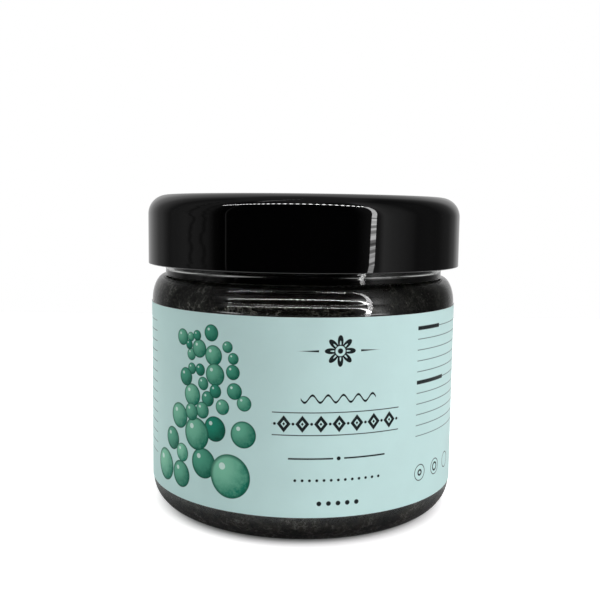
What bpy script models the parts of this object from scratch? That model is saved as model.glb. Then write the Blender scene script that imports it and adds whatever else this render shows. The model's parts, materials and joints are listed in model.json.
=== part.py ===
"""Cosmetic cream jar: a clear wide-mouth jar of soap paste with a wrap label, a pull disc and a screw lid.

Units are metres and +Z is up. The origin is the centre of the standing ring, on the table, and the
front of the label faces -Y. Every round piece is turned about the Z axis, which is also the axis
that the lid screws on and that the disc lifts along.
"""

import math

import bmesh
import bpy

# Jar, outside
BODY_RADIUS = 0.0360
SHOULDER_WIDTH = 0.0030
SHOULDER_DROP = 0.0060
SHOULDER_TOP = 0.0548
HEEL_RADIUS = 0.0064
STANDING_RING_WIDTH = 0.0026
BASE_RECESS = 0.0012
RECESS_SLOPE_WIDTH = 0.0015

# Jar, walls
BODY_WALL = 0.0012
NECK_WALL = 0.0016
BASE_WALL = 0.0016
RIM_ROUND = 0.0004

# Right-hand screw thread, one on the neck and one in the lid
THREAD_PITCH = 0.0038
THREAD_TURNS = 1.0
THREAD_DEPTH = 0.0010
THREAD_RIDGE_RADIUS = 0.0009
THREAD_CLEARANCE = 0.0004
THREAD_RUNOUT_TURNS = 0.08
THREAD_END_RADIUS = 0.0002
THREAD_BELOW_RIM = 0.0018
THREAD_ABOVE_EDGE = 0.0010

# Lid, a shell over a threaded inner cap
LID_REVEAL = 0.0022
SHELL_WALL = 0.0013
SHELL_TOP = 0.0013
SHELL_FILLET = 0.0045
SHELL_EDGE_ROUND = 0.0004
SNAP_LIP_WIDTH = 0.0007
SNAP_LIP_HEIGHT = 0.0007
LID_TOP_GAP = 0.0014
CAP_WALL = 0.0010
CAP_TOP = 0.0010
CAP_EDGE_ROUND = 0.0003
WAD_THICKNESS = 0.0012
WAD_EDGE = 0.0002

# Pull disc in the mouth
DISC_FLANGE = 0.0007
DISC_PLUG_DEPTH = 0.0030
DISC_PLUG_WALL = 0.0008
DISC_PANEL = 0.0008
DISC_PLUG_TAPER = 0.0004
TAB_WIDTH = 0.0130
TAB_LENGTH = 0.0170
TAB_THICKNESS = 0.0008
TAB_RIM = 0.0030
TAB_LIFT = 0.0006
TAB_ROOT_LENGTH = 0.0030

# Contents and label
HEADSPACE = 0.0105
PASTE_CROWN = 0.0004
LABEL_THICKNESS = 0.00012
LABEL_GAP = 0.00015
LABEL_ABOVE_HEEL = 0.0003
LABEL_BELOW_SHOULDER = 0.0006
LABEL_SEAM_WIDTH = 0.0045

# Clearance between pieces that touch on the real jar
FIT_GAP = 0.0003

# Fineness of the round shapes
TURN_STEPS = 48
ARC_STEPS = 5
THREAD_STEPS_PER_TURN = 32
TAB_ARC_STEPS = 10
MERGE_DISTANCE = 0.00001

# Heights that follow from the sizes above, from the table up
LID_BOTTOM = SHOULDER_TOP + LID_REVEAL
CAP_BOTTOM = LID_BOTTOM + SNAP_LIP_HEIGHT + FIT_GAP
LID_THREAD_START = CAP_BOTTOM + THREAD_ABOVE_EDGE
NECK_THREAD_START = LID_THREAD_START + THREAD_PITCH / 2
RIM_TOP = NECK_THREAD_START + THREAD_TURNS * THREAD_PITCH + THREAD_BELOW_RIM
FLANGE_BOTTOM = RIM_TOP + FIT_GAP
FLANGE_TOP = FLANGE_BOTTOM + DISC_FLANGE
PANEL_BOTTOM = RIM_TOP - DISC_PLUG_DEPTH
PANEL_TOP = PANEL_BOTTOM + DISC_PANEL
WAD_BOTTOM = FLANGE_TOP + FIT_GAP
WAD_TOP = WAD_BOTTOM + WAD_THICKNESS
CAP_CEILING = WAD_TOP + FIT_GAP
CAP_OUTSIDE_TOP = CAP_CEILING + CAP_TOP
SHELL_CEILING = CAP_OUTSIDE_TOP + LID_TOP_GAP
LID_TOP = SHELL_CEILING + SHELL_TOP
FLOOR_TOP = BASE_RECESS + BASE_WALL
FILL_TOP = RIM_TOP - HEADSPACE

# Radii that follow from the sizes above, from the axis out
NECK_RADIUS = BODY_RADIUS - SHOULDER_WIDTH
BODY_INSIDE = BODY_RADIUS - BODY_WALL
MOUTH_RADIUS = NECK_RADIUS - NECK_WALL
PLUG_RADIUS = MOUTH_RADIUS - FIT_GAP
FLANGE_RADIUS = NECK_RADIUS - RIM_ROUND
CAP_BORE = NECK_RADIUS + THREAD_DEPTH + THREAD_CLEARANCE
CAP_RADIUS = CAP_BORE + CAP_WALL
SHELL_BORE = CAP_RADIUS + FIT_GAP
LID_RADIUS = SHELL_BORE + SHELL_WALL
SHELL_INNER_FILLET = SHELL_FILLET - SHELL_WALL
CAP_FILLET = max(SHELL_INNER_FILLET - LID_TOP_GAP, CAP_EDGE_ROUND)
CAP_INNER_FILLET = max(CAP_FILLET - CAP_WALL, CAP_EDGE_ROUND)
WAD_RADIUS = CAP_BORE - CAP_INNER_FILLET
LABEL_RADIUS = BODY_RADIUS + LABEL_GAP


def clear_scene():
    for obj in list(bpy.data.objects):
        bpy.data.objects.remove(obj, do_unlink=True)


def new_collection(name):
    collection = bpy.data.collections.new(name)
    bpy.context.scene.collection.children.link(collection)
    return collection


def new_material(name, color, roughness, transmission=0.0):
    material = bpy.data.materials.new(name)
    material.use_nodes = True
    shader = material.node_tree.nodes["Principled BSDF"]
    shader.inputs["Base Color"].default_value = (*color, 1.0)
    shader.inputs["Roughness"].default_value = roughness
    shader.inputs["Metallic"].default_value = 0.0
    shader.inputs["Transmission Weight"].default_value = transmission
    return material


def new_axis(name, height, parent=None):
    """An empty on the jar's axis that carries the pieces that move together."""
    axis = bpy.data.objects.new(name, None)
    PARTS.objects.link(axis)
    axis.parent = parent
    axis.location.z = height - (parent.location.z if parent else 0.0)
    return axis


def arc(center_x, center_z, radius_x, radius_z, start, end, steps=ARC_STEPS):
    """Points along a quarter ellipse or a part of one, from one angle in degrees to another."""
    points = []
    for step in range(steps + 1):
        angle = math.radians(start + (end - start) * step / steps)
        points.append((center_x + radius_x * math.cos(angle), center_z + radius_z * math.sin(angle)))
    return points


def profile_mesh(name, profile, base):
    """A chain of edges in the XZ plane, with heights measured from the piece's own origin."""
    mesh = bpy.data.meshes.new(name)
    points = [(x, 0.0, z - base) for x, z in profile]
    edges = [(index, index + 1) for index in range(len(points) - 1)]
    mesh.from_pydata(points, edges, [])
    return mesh


def turned(name, profile, material, axis, base, steps=TURN_STEPS, angle=2 * math.pi):
    """A piece turned from a profile that runs down its outer side."""
    mesh = profile_mesh(name, profile, base)
    mesh.materials.append(material)
    piece = bpy.data.objects.new(name, mesh)
    PARTS.objects.link(piece)
    piece.parent = axis
    screw = piece.modifiers.new("Turn", "SCREW")
    screw.axis = "Z"
    screw.angle = angle
    screw.steps = steps
    screw.render_steps = steps
    screw.use_merge_vertices = True
    screw.merge_threshold = MERGE_DISTANCE
    return piece


def mesh_of(shape, name):
    """A closed mesh from a curve object, with its end caps welded on."""
    bpy.context.view_layer.update()
    graph = bpy.context.evaluated_depsgraph_get()
    mesh = bpy.data.meshes.new_from_object(shape.evaluated_get(graph))
    welded = bmesh.new()
    welded.from_mesh(mesh)
    bmesh.ops.remove_doubles(welded, verts=welded.verts, dist=MERGE_DISTANCE)
    bmesh.ops.recalc_face_normals(welded, faces=welded.faces)
    welded.to_mesh(mesh)
    welded.free()
    solid = bpy.data.objects.new(name, mesh)
    solid.matrix_world = shape.matrix_world
    bpy.data.objects.remove(shape, do_unlink=True)
    return solid


def join(piece, tool):
    """Adds a helper solid to a piece, so that both are one body."""
    TOOLS.objects.link(tool)
    tool.hide_render = True
    tool.display_type = "WIRE"
    union = piece.modifiers.new("Join " + tool.name, "BOOLEAN")
    union.operation = "UNION"
    union.solver = "EXACT"
    union.object = tool


def new_curve(name, dimensions):
    curve = bpy.data.curves.new(name, "CURVE")
    curve.dimensions = dimensions
    shape = bpy.data.objects.new(name, curve)
    TOOLS.objects.link(shape)
    return shape


def add_spline(curve, points, closed):
    spline = curve.splines.new("POLY")
    spline.points.add(len(points) - 1)
    for target, point in zip(spline.points, points):
        target.co = (*point, 1.0)
    spline.use_cyclic_u = closed
    return spline


def thread_ridge(name, start, ridge_radius_at, buried_radius_at):
    """A helix that climbs one pitch a turn and sinks into its wall at both ends."""
    count = round(THREAD_STEPS_PER_TURN * THREAD_TURNS)
    points = []
    widths = []
    for step in range(count + 1):
        turns = THREAD_TURNS * step / count
        out = min(1.0, turns / THREAD_RUNOUT_TURNS, (THREAD_TURNS - turns) / THREAD_RUNOUT_TURNS)
        radius = buried_radius_at + (ridge_radius_at - buried_radius_at) * out
        angle = 2 * math.pi * turns
        height = start + THREAD_PITCH * turns
        points.append((radius * math.cos(angle), radius * math.sin(angle), height))
        widths.append(THREAD_END_RADIUS + (THREAD_RIDGE_RADIUS - THREAD_END_RADIUS) * out)
    shape = new_curve(name, "3D")
    shape.data.bevel_depth = 1.0
    shape.data.bevel_resolution = 2
    shape.data.use_fill_caps = True
    spline = add_spline(shape.data, points, closed=False)
    for point, width in zip(spline.points, widths):
        point.radius = width
    return mesh_of(shape, name)


def jar_inside(gap):
    """The hollow of the jar, from the middle of the floor up to the mouth, drawn in by a gap."""
    wall = BODY_INSIDE - gap
    floor = FLOOR_TOP + gap
    corner = HEEL_RADIUS - BODY_WALL
    mouth = MOUTH_RADIUS - gap
    shoulder = SHOULDER_TOP - SHOULDER_DROP
    drop = SHOULDER_DROP - BODY_WALL - gap
    points = [(0.0, floor)]
    points += arc(wall - corner, floor + corner, corner, corner, -90, 0)
    points += arc(mouth, shoulder, wall - mouth, drop, 0, 90)
    return points


def jar_body(material, axis):
    heel_x = BODY_RADIUS - HEEL_RADIUS
    ring_x = heel_x - STANDING_RING_WIDTH
    shoulder = SHOULDER_TOP - SHOULDER_DROP
    profile = jar_inside(0.0)
    profile += arc(MOUTH_RADIUS + RIM_ROUND, RIM_TOP - RIM_ROUND, RIM_ROUND, RIM_ROUND, 180, 90, 2)
    profile += arc(NECK_RADIUS - RIM_ROUND, RIM_TOP - RIM_ROUND, RIM_ROUND, RIM_ROUND, 90, 0, 2)
    profile += arc(NECK_RADIUS, shoulder, SHOULDER_WIDTH, SHOULDER_DROP, 90, 0)
    profile += arc(heel_x, HEEL_RADIUS, HEEL_RADIUS, HEEL_RADIUS, 0, -90)
    profile += [(ring_x, 0.0), (ring_x - RECESS_SLOPE_WIDTH, BASE_RECESS), (0.0, BASE_RECESS)]
    body = turned("jar_body", profile, material, axis, 0.0)
    ridge_at = NECK_RADIUS + THREAD_DEPTH - THREAD_RIDGE_RADIUS
    join(body, thread_ridge("neck_thread", NECK_THREAD_START, ridge_at, NECK_RADIUS - NECK_WALL / 2))


def soap_paste(material, axis):
    """The paste fills the jar to a little above the shoulder and is slightly crowned."""
    profile = [(0.0, FILL_TOP + PASTE_CROWN), (MOUTH_RADIUS - FIT_GAP, FILL_TOP)]
    profile += reversed(jar_inside(FIT_GAP))
    turned("soap_paste", profile, material, axis, 0.0)


def wrap_label(material, axis):
    """A strip of paper round the straight wall, with its seam at the back."""
    bottom = HEEL_RADIUS + LABEL_ABOVE_HEEL
    top = SHOULDER_TOP - SHOULDER_DROP - LABEL_BELOW_SHOULDER
    seam = LABEL_SEAM_WIDTH / LABEL_RADIUS
    profile = [(LABEL_RADIUS, top), (LABEL_RADIUS, bottom)]
    label = turned("wrap_label", profile, material, axis, 0.0, angle=2 * math.pi - seam)
    label.rotation_euler.z = math.pi / 2 + seam / 2
    paper = label.modifiers.new("Paper", "SOLIDIFY")
    paper.thickness = LABEL_THICKNESS
    paper.offset = 1.0
    paper.use_even_offset = True


def tab_outline(half_width, far_end):
    """A tongue with a round far end, from its root on the -X side."""
    root = (-TAB_LENGTH / 2, far_end - half_width)
    points = [(root[0], -half_width, 0.0)]
    for x, y in arc(root[1], 0.0, half_width, half_width, -90, 90, TAB_ARC_STEPS):
        points.append((x, y, 0.0))
    points.append((root[0], half_width, 0.0))
    return points


def pull_tab():
    """A flat tab with a finger hole, which lies a little above the disc's panel."""
    shape = new_curve("pull_tab", "2D")
    shape.data.fill_mode = "BOTH"
    shape.data.extrude = TAB_THICKNESS / 2
    add_spline(shape.data, tab_outline(TAB_WIDTH / 2, TAB_LENGTH / 2), closed=True)
    hole_radius = TAB_WIDTH / 2 - TAB_RIM
    hole_x = TAB_LENGTH / 2 - TAB_WIDTH / 2
    hole = arc(hole_x, 0.0, hole_radius, hole_radius, 0, 360, 2 * TAB_ARC_STEPS)[:-1]
    add_spline(shape.data, [(x, y, 0.0) for x, y in hole], closed=True)
    shape.location.z = PANEL_TOP + TAB_LIFT + TAB_THICKNESS / 2
    return mesh_of(shape, "pull_tab")


def tab_root():
    """The short block that holds the tab on the panel, sunk half-way into both."""
    low = PANEL_TOP - DISC_PANEL / 2
    high = PANEL_TOP + TAB_LIFT + TAB_THICKNESS / 2
    block = bmesh.new()
    bmesh.ops.create_cube(block, size=1.0)
    bmesh.ops.scale(block, vec=(TAB_ROOT_LENGTH, TAB_WIDTH - TAB_RIM, high - low), verts=block.verts)
    mesh = bpy.data.meshes.new("tab_root")
    block.to_mesh(mesh)
    block.free()
    root = bpy.data.objects.new("tab_root", mesh)
    root.location = ((TAB_ROOT_LENGTH - TAB_LENGTH) / 2 + TAB_LIFT, 0.0, (low + high) / 2)
    return root


def sealing_disc(material, axis):
    """A pull disc whose flange rests on the rim and whose plug stands in the mouth."""
    inside = PLUG_RADIUS - DISC_PLUG_WALL
    profile = [
        (0.0, PANEL_TOP),
        (inside - DISC_PLUG_TAPER, PANEL_TOP),
        (inside, FLANGE_TOP),
        (FLANGE_RADIUS, FLANGE_TOP),
        (FLANGE_RADIUS, FLANGE_BOTTOM),
        (PLUG_RADIUS, FLANGE_BOTTOM),
        (PLUG_RADIUS - DISC_PLUG_TAPER, PANEL_BOTTOM),
        (0.0, PANEL_BOTTOM),
    ]
    disc = turned("sealing_disc", profile, material, axis, axis.location.z)
    join(disc, pull_tab())
    join(disc, tab_root())


def lid_wad(material, axis):
    """The board wad under the lid's ceiling, which presses on the disc."""
    profile = [
        (0.0, WAD_TOP),
        (WAD_RADIUS - WAD_EDGE, WAD_TOP),
        (WAD_RADIUS, WAD_TOP - WAD_EDGE),
        (WAD_RADIUS, WAD_BOTTOM + WAD_EDGE),
        (WAD_RADIUS - WAD_EDGE, WAD_BOTTOM),
        (0.0, WAD_BOTTOM),
    ]
    turned("lid_wad", profile, material, axis, axis.location.z)


def lid_inner_cap(material, axis):
    """The threaded cap inside the lid."""
    fillet_x = CAP_RADIUS - CAP_FILLET
    inner_x = CAP_BORE - CAP_INNER_FILLET
    profile = [(0.0, CAP_OUTSIDE_TOP)]
    profile += arc(fillet_x, CAP_OUTSIDE_TOP - CAP_FILLET, CAP_FILLET, CAP_FILLET, 90, 0)
    profile += [(CAP_RADIUS, CAP_BOTTOM), (CAP_BORE, CAP_BOTTOM)]
    profile += arc(inner_x, CAP_CEILING - CAP_INNER_FILLET, CAP_INNER_FILLET, CAP_INNER_FILLET, 0, 90, 2)
    profile += [(0.0, CAP_CEILING)]
    cap = turned("lid_inner_cap", profile, material, axis, LID_BOTTOM)
    ridge_at = CAP_BORE - THREAD_DEPTH + THREAD_RIDGE_RADIUS
    join(cap, thread_ridge("lid_thread", LID_THREAD_START, ridge_at, CAP_BORE + CAP_WALL / 2))


def lid_outer_shell(material, axis):
    """The smooth outer shell, whose lip at the bottom holds the inner cap in."""
    fillet_x = LID_RADIUS - SHELL_FILLET
    edge = SHELL_EDGE_ROUND
    lip_x = SHELL_BORE - SNAP_LIP_WIDTH
    profile = [(0.0, LID_TOP)]
    profile += arc(fillet_x, LID_TOP - SHELL_FILLET, SHELL_FILLET, SHELL_FILLET, 90, 0)
    profile += arc(LID_RADIUS - edge, LID_BOTTOM + edge, edge, edge, 0, -90, 2)
    profile += [
        (lip_x, LID_BOTTOM),
        (lip_x, LID_BOTTOM + SNAP_LIP_HEIGHT),
        (SHELL_BORE, LID_BOTTOM + SNAP_LIP_HEIGHT),
    ]
    inner_x = SHELL_BORE - SHELL_INNER_FILLET
    inner_z = SHELL_CEILING - SHELL_INNER_FILLET
    profile += arc(inner_x, inner_z, SHELL_INNER_FILLET, SHELL_INNER_FILLET, 0, 90)
    profile += [(0.0, SHELL_CEILING)]
    turned("lid_outer_shell", profile, material, axis, LID_BOTTOM)


def build():
    clear = new_material("clear_plastic", (0.92, 0.95, 0.94), 0.05, transmission=1.0)
    paste = new_material("dark_soap_paste", (0.020, 0.018, 0.014), 0.35)
    paper = new_material("mint_paper", (0.52, 0.72, 0.70), 0.45)
    white = new_material("white_disc_plastic", (0.86, 0.87, 0.86), 0.40)
    board = new_material("wad_board", (0.83, 0.81, 0.76), 0.80)
    inner_black = new_material("black_cap_plastic", (0.012, 0.012, 0.013), 0.45)
    shell_black = new_material("gloss_black_plastic", (0.006, 0.006, 0.007), 0.08)

    jar_axis = new_axis("jar_axis", 0.0)
    jar_body(clear, jar_axis)
    soap_paste(paste, jar_axis)
    wrap_label(paper, jar_axis)
    sealing_disc(white, new_axis("disc_axis", RIM_TOP, jar_axis))
    wad_axis = new_axis("wad_axis", WAD_BOTTOM, jar_axis)
    lid_wad(board, wad_axis)
    lid_axis = new_axis("lid_axis", LID_BOTTOM, jar_axis)
    lid_inner_cap(inner_black, lid_axis)
    lid_outer_shell(shell_black, lid_axis)


clear_scene()
PARTS = new_collection("cosmetic_cream_jar")
TOOLS = new_collection("joining_tools")
build()
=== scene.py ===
# %% [markdown]
# # A clear jar of soap paste, dressed for its portrait
# The solids that this lesson starts from are already built to size: a clear jar, the dark paste in it, a
# paper label, a pull disc in the mouth and a lid that screws off. They stay where they are, as a fixed
# frame that also carries the motion. What is made here is what the eye sees: a finer mesh for each of
# them, a finish of nodes for each surface, a small studio and a camera.

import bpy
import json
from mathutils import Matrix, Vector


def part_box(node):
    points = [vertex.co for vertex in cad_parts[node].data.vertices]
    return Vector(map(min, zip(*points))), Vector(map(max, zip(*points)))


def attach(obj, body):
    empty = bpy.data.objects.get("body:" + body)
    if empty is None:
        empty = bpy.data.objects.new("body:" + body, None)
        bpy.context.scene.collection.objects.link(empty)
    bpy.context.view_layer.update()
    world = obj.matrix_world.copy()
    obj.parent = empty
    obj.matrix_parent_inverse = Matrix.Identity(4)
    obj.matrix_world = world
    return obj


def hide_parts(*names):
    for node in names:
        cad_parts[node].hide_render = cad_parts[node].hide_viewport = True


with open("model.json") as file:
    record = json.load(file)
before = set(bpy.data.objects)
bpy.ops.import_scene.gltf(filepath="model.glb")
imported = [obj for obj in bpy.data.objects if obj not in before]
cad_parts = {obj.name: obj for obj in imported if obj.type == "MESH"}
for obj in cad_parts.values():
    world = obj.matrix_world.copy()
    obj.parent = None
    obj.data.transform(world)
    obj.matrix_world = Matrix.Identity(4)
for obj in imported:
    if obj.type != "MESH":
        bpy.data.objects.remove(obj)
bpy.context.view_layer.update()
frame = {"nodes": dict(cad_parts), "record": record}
print("solids:", ", ".join(sorted(frame["nodes"])))

# %% Tools of the lesson
import json
import math
import random

import bmesh
import bpy
from mathutils import Matrix, Vector, noise

MM = 0.001
scene = bpy.context.scene
print("Blender", bpy.app.version_string)

# %% [markdown]
# ## Sizes
# A visible mesh has to sit exactly where its solid sits, or the lid would float or bite into the jar. So
# every height and radius that a solid can tell is read from it. Walls, fillets and the screw thread
# can't be read from a box, so they are repeated here as the sizes that a moulder would ask for.

# %% Heights and radii read from the solids
def reach(node):
    """Radius, foot and top of a round solid."""
    low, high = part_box(node)
    return high.x, low.z, high.z


BODY_RADIUS, TABLE, RIM_TOP = reach("jar_body")
PASTE_TOP = reach("soap_paste")[2]
LABEL_FOOT, LABEL_TOP = reach("wrap_label")[1:]
FLANGE_RADIUS, PANEL_FOOT, FLANGE_TOP = reach("sealing_disc")
WAD_RADIUS, WAD_FOOT, WAD_TOP = reach("lid_wad")
CAP_RADIUS, CAP_FOOT, CAP_TOP = reach("lid_inner_cap")
LID_RADIUS, LID_FOOT, LID_TOP = reach("lid_outer_shell")
print(f"jar {2 * BODY_RADIUS / MM:.1f} mm across, lid {2 * LID_RADIUS / MM:.1f} mm across")
print(f"height {LID_TOP / MM:.1f} mm")

# %% Walls, fillets and thread
BODY_WALL = 1.2 * MM
NECK_WALL = 1.6 * MM
BASE_WALL = 1.6 * MM
SHOULDER_WIDTH = 3.0 * MM
NECK_RADIUS = BODY_RADIUS - SHOULDER_WIDTH
MOUTH_RADIUS = NECK_RADIUS - NECK_WALL
SHOULDER_TOP = 54.5 * MM
SHOULDER_DROP = 6.0 * MM
HEEL_RADIUS = 6.4 * MM
STANDING_RING = 2.6 * MM
BASE_RECESS = 1.2 * MM
RECESS_SLOPE = 1.5 * MM
RIM_ROUND = 0.4 * MM
THREAD_PITCH = 3.8 * MM
THREAD_DEPTH = 1.0 * MM
THREAD_HALF_WIDTH = 1.1 * MM
THREAD_RUNOUT = 0.08
NECK_THREAD_START = 60.9 * MM
CAP_THREAD_START = 59.0 * MM
print(f"neck {2 * NECK_RADIUS / MM:.1f} mm across under a thread of {THREAD_PITCH / MM:.1f} mm pitch")

# %% [markdown]
# ## A lathe
# Nearly everything here is round, so one good lathe makes most of it. Blender's Screw modifier could
# turn the outlines too, but a mesh spun by bmesh can still be reshaped point by point afterwards, and
# that is how the threads and the stirred paste come about below. Round stretches of an outline are
# arcs, and straight stretches are cut into rows so that smooth shading doesn't smear over a tall face.

# %% Outlines
ARC_STEPS = 14
ROW = 1.6 * MM


def arc(center_x, center_z, radius_x, radius_z, start, end, steps=ARC_STEPS):
    """Points along part of an ellipse, from one angle in degrees to another."""
    points = []
    for step in range(steps + 1):
        angle = math.radians(start + (end - start) * step / steps)
        points.append((center_x + radius_x * math.cos(angle), center_z + radius_z * math.sin(angle)))
    return points


def in_rows(outline, height=ROW):
    """The same outline with its straight stretches cut into rows no taller than a height."""
    rows = [outline[0]]
    for (x, z), (next_x, next_z) in zip(outline, outline[1:]):
        count = max(1, math.ceil(math.hypot(next_x - x, next_z - z) / height))
        for step in range(1, count + 1):
            share = step / count
            rows.append((x + (next_x - x) * share, z + (next_z - z) * share))
    return rows


print("a quarter round takes", len(arc(0, 0, 1, 1, 0, 90)), "points")

# %% Turning an outline
SEGMENTS = 192
WELD = 0.001 * MM
SHARP_ANGLE = math.radians(38)


def add_piece(name, shape):
    """Makes an object of a bmesh and shades it smooth, apart from its sharp corners."""
    mesh = bpy.data.meshes.new(name)
    shape.to_mesh(mesh)
    shape.free()
    mesh.shade_smooth()
    mesh.set_sharp_from_angle(angle=SHARP_ANGLE)
    piece = bpy.data.objects.new(name, mesh)
    scene.collection.objects.link(piece)
    return piece


def turned(outline, reshape=None):
    """Spins an outline of (radius, height) points about Z, then moves each point by a rule."""
    shape = bmesh.new()
    chain = [shape.verts.new((x, 0.0, z)) for x, z in outline]
    edges = [shape.edges.new(pair) for pair in zip(chain, chain[1:])]
    bmesh.ops.spin(
        shape,
        geom=chain + edges,
        axis=(0, 0, 1),
        cent=(0, 0, 0),
        angle=math.tau,
        steps=SEGMENTS,
        use_merge=True,
    )
    bmesh.ops.remove_doubles(shape, verts=shape.verts, dist=WELD)
    bmesh.ops.recalc_face_normals(shape, faces=shape.faces)
    if reshape:
        for vert in shape.verts:
            vert.co = reshape(vert.co)
    return shape


def with_radius(place, radius):
    """The point at the same height and angle, at another radius."""
    angle = math.atan2(place.y, place.x)
    return Vector((radius * math.cos(angle), radius * math.sin(angle), place.z))


print("pieces are turned in", SEGMENTS, "steps")

# %% [markdown]
# ## Shader maths as Python
# A finish is a tree of nodes, and adding up two values in it takes a Math node. Written out, that hides the
# idea behind the wiring. So a small class stands for one output of a node, and arithmetic on it adds the
# Math node: `1 - mask` reads as it should. Every other node comes from a single method, which
# sets the node's own settings first and then fills its sockets with values or links.

# %% Wires and nodes
def pick(sockets, key):
    """A socket by its number, or by its name among those in use."""
    if isinstance(key, int):
        return sockets[key]
    return next(socket for socket in sockets if socket.enabled and key in (socket.name, socket.identifier))


class Wire:
    """One output of a node. Arithmetic on wires adds Math nodes to their tree."""

    def __init__(self, nodes, socket):
        self.nodes = nodes
        self.socket = socket

    def math(self, operation, first, second=0.0):
        return self.nodes.add("ShaderNodeMath", {"operation": operation}, {0: first, 1: second})

    def __add__(self, other):
        return self.math("ADD", self, other)

    def __radd__(self, other):
        return self.math("ADD", other, self)

    def __sub__(self, other):
        return self.math("SUBTRACT", self, other)

    def __rsub__(self, other):
        return self.math("SUBTRACT", other, self)

    def __mul__(self, other):
        return self.math("MULTIPLY", self, other)

    def __rmul__(self, other):
        return self.math("MULTIPLY", other, self)

    def __truediv__(self, other):
        return self.math("DIVIDE", self, other)

    def __neg__(self):
        return self.math("MULTIPLY", self, -1.0)

    def __abs__(self):
        return self.math("ABSOLUTE", self)

    def above(self, low, high):
        """0 below one value and 1 above the other, with a soft step between; swapped, it falls."""
        spread = {"Value": self, "From Min": low, "From Max": high}
        return self.nodes.add("ShaderNodeMapRange", {"interpolation_type": "SMOOTHSTEP"}, spread)

    def other(self, name):
        """Another output of the same node."""
        return Wire(self.nodes, pick(self.socket.node.outputs, name))


class Nodes:
    """The node tree of a material, a world or a lamp, filled node by node."""

    def __init__(self, owner):
        owner.use_nodes = True
        self.tree = owner.node_tree
        self.tree.nodes.clear()

    def add(self, kind, settings=None, sockets=None, out=0):
        node = self.tree.nodes.new(kind)
        for name, value in (settings or {}).items():
            if name == "stops":
                self.set_stops(node.color_ramp.elements, value)
            else:
                setattr(node, name, value)
        for key, value in (sockets or {}).items():
            socket = pick(node.inputs, key)
            if isinstance(value, Wire):
                self.tree.links.new(value.socket, socket)
            elif socket.type == "RGBA":
                socket.default_value = (*value, 1.0)
            else:
                socket.default_value = value
        return Wire(self, pick(node.outputs, out)) if node.outputs else None

    def set_stops(self, elements, stops):
        while len(elements) < len(stops):
            elements.new(1.0)
        for element, (position, color) in zip(elements, stops):
            element.position = position
            element.color = (*color, 1.0)

    def place(self):
        """The point of the surface, in the object's own metres."""
        return self.add("ShaderNodeTexCoord", out="Object")

    def mix(self, factor, first, second):
        """One colour turning into another."""
        colors = {"Factor": factor, "A": first, "B": second}
        return self.add("ShaderNodeMix", {"data_type": "RGBA"}, colors, out="Result")

    def noise(self, place, size, detail=2.0, roughness=0.5):
        """Cloudy values about one half, with blotches of a size in metres."""
        sockets = {"Vector": place, "Scale": 1.0 / size, "Detail": detail, "Roughness": roughness}
        return self.add("ShaderNodeTexNoise", {}, sockets)

    def bump(self, height, depth, strength=1.0):
        """A surface normal bent by a height map that is a depth in metres from low to high."""
        return self.add("ShaderNodeBump", {}, {"Height": height, "Distance": depth, "Strength": strength})


print("wires and nodes are ready")

# %% Finishing a piece
def new_finish(name):
    """A new material and its empty node tree."""
    material = bpy.data.materials.new(name)
    return material, Nodes(material)


def show(nodes, shader):
    nodes.add("ShaderNodeOutputMaterial", {}, {"Surface": shader})


def place_piece(piece, node, slot, *materials):
    """Puts a piece on its solid's body and lets it stand for that solid."""
    for material in materials:
        piece.data.materials.append(material)
    body = next(body for body, members in frame["record"]["behaviour"]["bodies"].items() if node in members)
    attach(piece, body)
    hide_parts(node)
    print(f"{piece.name}: {len(piece.data.polygons)} faces, rides on {body}")


print("finishes are kept in", len(bpy.data.materials), "materials so far")

# %% [markdown]
# ## The clear jar
# The jar is one moulding of clear plastic: a rounded heel on a narrow standing ring, a straight wall, a
# soft shoulder and a neck with a single turn of thread. A glass-like shader needs a closed mesh with a
# true inside and outside, because light bends at both. So the outline runs from the middle of the floor
# up the inside, over the rim and down the outside, and the thread is raised out of the neck itself
# instead of being a second mesh sunk into it, which would show through. The inside of the shoulder is
# two rounds with a step between, where the wall is a little thinner: each one throws back its own thin
# bright line.

# %% Jar mesh
NECK_ROW = 0.2 * MM
GLUE_SPACE = 0.12 * MM
BEAD_HEIGHT = 56.1 * MM
BEAD_HALF_WIDTH = 0.6 * MM
BEAD_DEPTH = 0.055 * MM
THIN_WALL = 0.45 * MM
THIN_FOOT = 44.0 * MM
STEP_FOOT = 48.6 * MM
LOWER_ROUND = 3.25 * MM
LOWER_TURN = 34
UPPER_ROUND = 4.03 * MM
UPPER_TURN = 14
UPPER_END = 81
GATE_RADIUS = 1.4 * MM
GATE_HEIGHT = 0.35 * MM
NECK_STEP = 0.1 * MM


def ridge(place, start):
    """Height of the thread at a point, from 0 beside it to 1 on its crest."""
    turns = math.atan2(place.y, place.x) / math.tau % 1.0
    runout = min(1.0, turns / THREAD_RUNOUT, (1.0 - turns) / THREAD_RUNOUT)
    off = abs(place.z - start - THREAD_PITCH * turns) / THREAD_HALF_WIDTH
    return runout * math.cos(min(off, 1.0) * math.pi / 2) ** 2


def raise_neck_thread(place):
    """Lifts the thread and the faint bead below it out of the neck."""
    on_neck = place.xy.length > NECK_RADIUS - WELD and SHOULDER_TOP < place.z < RIM_TOP
    if not on_neck:
        return place
    off = min(1.0, abs(place.z - BEAD_HEIGHT) / BEAD_HALF_WIDTH)
    bead = BEAD_DEPTH * math.cos(off * math.pi / 2) ** 2
    return with_radius(place, NECK_RADIUS + bead + THREAD_DEPTH * ridge(place, NECK_THREAD_START))


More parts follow.
